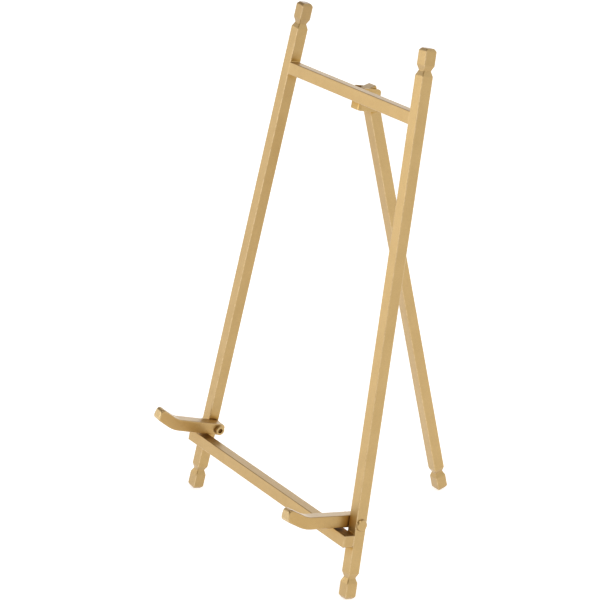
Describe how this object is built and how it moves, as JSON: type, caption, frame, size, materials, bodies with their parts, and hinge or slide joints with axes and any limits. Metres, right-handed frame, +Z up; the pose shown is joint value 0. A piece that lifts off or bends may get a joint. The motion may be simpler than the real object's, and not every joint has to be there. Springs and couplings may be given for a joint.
{
  "type": "display easel",
  "caption": "Folding tabletop display easel of square bar with a hinged rear leg and pivoting picture arms with upturned tips.",
  "frame": {"origin": "on the table, at the centre of the easel's footprint with its arms as they rest", "axes": "+Z up, +X along the rails towards the right leg as seen from the front, -Y the side the picture faces"},
  "size_m": [0.146, 0.1377, 0.2546],
  "materials": {
    "frame_bar": "satin gold paint",
    "arm_bar": "satin gold paint",
    "hardware": "satin gold paint"
  },
  "bodies": {
    "frame": {"left_leg": "frame_bar", "right_leg": "frame_bar", "top_rail": "frame_bar", "bottom_rail": "frame_bar", "hinge_bracket": "hardware", "hinge_pin": "hardware", "left_arm_rivet": "hardware", "right_arm_rivet": "hardware"},
    "rear_leg": {"rear_leg": "frame_bar"},
    "left_arm": {"left_arm": "arm_bar"},
    "right_arm": {"right_arm": "arm_bar"}
  },
  "joints": [
    {"name": "rear_leg_fold", "type": "hinge", "parent": "frame", "child": "rear_leg", "pos_m": [0, 0.01878, 0.21791], "axis": [-1, 0, 0], "range_deg": [0, 27.5]},
    {"name": "left_arm_turn", "type": "hinge", "parent": "frame", "child": "left_arm", "pos_m": [-0.06117, -0.03241, 0.03575], "axis": [-0.9971, 0.0162, 0.0744], "range_deg": [-11.6, 82.6]},
    {"name": "right_arm_turn", "type": "hinge", "parent": "frame", "child": "right_arm", "pos_m": [0.06117, -0.03241, 0.03575], "axis": [-0.9971, -0.0162, -0.0744], "range_deg": [-4.5, 89.8]}
  ]
}
